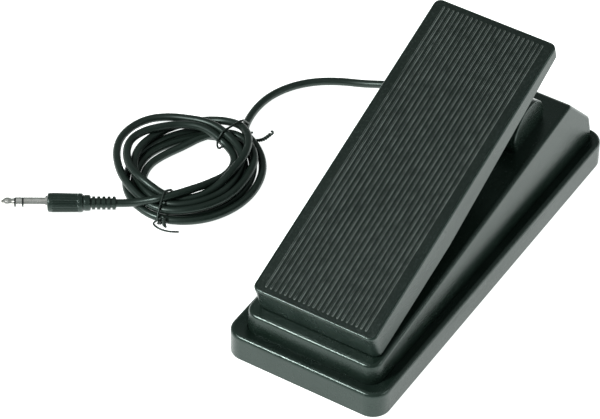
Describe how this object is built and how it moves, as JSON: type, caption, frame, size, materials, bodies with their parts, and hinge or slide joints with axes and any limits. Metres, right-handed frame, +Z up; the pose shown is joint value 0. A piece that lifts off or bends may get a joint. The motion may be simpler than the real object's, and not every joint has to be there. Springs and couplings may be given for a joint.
{
  "type": "rocker expression pedal",
  "caption": "Foot rocker pedal: ribbed treadle hinged on a wedge housing and tray, geared to a rotary sensor, with a coiled lead ending in a jack plug.",
  "frame": {"origin": "centre of the base where the feet touch the floor", "axes": "+Z up, +Y from heel to toe, +X to the player's right"},
  "size_m": [0.2861, 0.2708, 0.1238],
  "materials": {
    "treadle_plastic": "fine satin moulded",
    "housing_plastic": "satin moulded",
    "base_plastic": "satin moulded",
    "tread_rubber": "ribbed matte",
    "foot_rubber": "matte",
    "stop_rubber": "matte",
    "lead_jacket": "soft satin",
    "relief_rubber": "moulded satin",
    "plug_plastic": "moulded",
    "plug_nickel": "bright nickel plate",
    "insulator_plastic": "gloss",
    "tie_plastic": "gloss",
    "zinc_steel": "zinc plated",
    "black_steel": "black oxide",
    "ballast_steel": "mill finish",
    "bush_nylon": "natural nylon",
    "gear_acetal": "moulded acetal",
    "sector_acetal": "moulded acetal",
    "pot_case": "stamped",
    "pot_phenolic": "phenolic board",
    "tin": "tinned",
    "wire_insulation": "coloured"
  },
  "bodies": {
    "base": {"base_tray": "base_plastic", "rubber_feet": "foot_rubber", "base_screws": "black_steel", "ballast_plate": "ballast_steel", "ballast_clips": "bush_nylon", "ballast_screws": "zinc_steel", "upper_housing": "housing_plastic", "pivot_bracket": "black_steel", "pivot_bracket_screws": "black_steel", "pivot_axle": "zinc_steel", "thrust_washers": "bush_nylon", "spring_washers": "zinc_steel", "axle_clips": "zinc_steel", "heel_bumpers": "stop_rubber", "pot_bracket": "zinc_steel", "pot_bracket_screws": "zinc_steel", "pot_body": "pot_case", "pot_track": "pot_phenolic", "pot_nut": "zinc_steel", "pot_washer": "zinc_steel", "pot_terminals": "tin", "lead_wires": "wire_insulation", "lead_gland": "relief_rubber", "lead_inner": "lead_jacket", "cable_clamp": "black_steel", "cable_clamp_screws": "zinc_steel", "lead_run": "lead_jacket", "lead_coil": "lead_jacket", "lead_tail": "lead_jacket", "cable_tie_upper": "tie_plastic", "cable_tie_lower": "tie_plastic", "plug_relief": "relief_rubber", "plug_handle": "plug_plastic", "plug_sleeve": "plug_nickel", "plug_insulator_inner": "insulator_plastic", "plug_ring": "plug_nickel", "plug_insulator_outer": "insulator_plastic", "plug_tip": "plug_nickel"},
    "treadle": {"treadle_shell": "treadle_plastic", "tread_mat": "tread_rubber", "toe_stop_pads": "stop_rubber", "pivot_bushes": "bush_nylon", "drive_sector": "sector_acetal", "sector_screws": "zinc_steel"},
    "pot_rotor": {"pot_shaft": "zinc_steel", "pot_wiper": "tin", "pinion_gear": "gear_acetal", "pinion_set_screw": "black_steel"}
  },
  "joints": [
    {"name": "treadle_pivot", "type": "hinge", "parent": "base", "child": "treadle", "pos_m": [0, -0.04404, 0.06559], "axis": [-1, 0, 0], "range_deg": [0, 15]},
    {"name": "sensor_spin", "type": "hinge", "parent": "base", "child": "pot_rotor", "pos_m": [0, 0.06834, 0.06349], "axis": [-1, 0, 0], "range_deg": [-249, 0]}
  ],
  "couplings": [
    {"joint": "sensor_spin", "follows": "treadle_pivot", "ratio": -16.562}
  ]
}
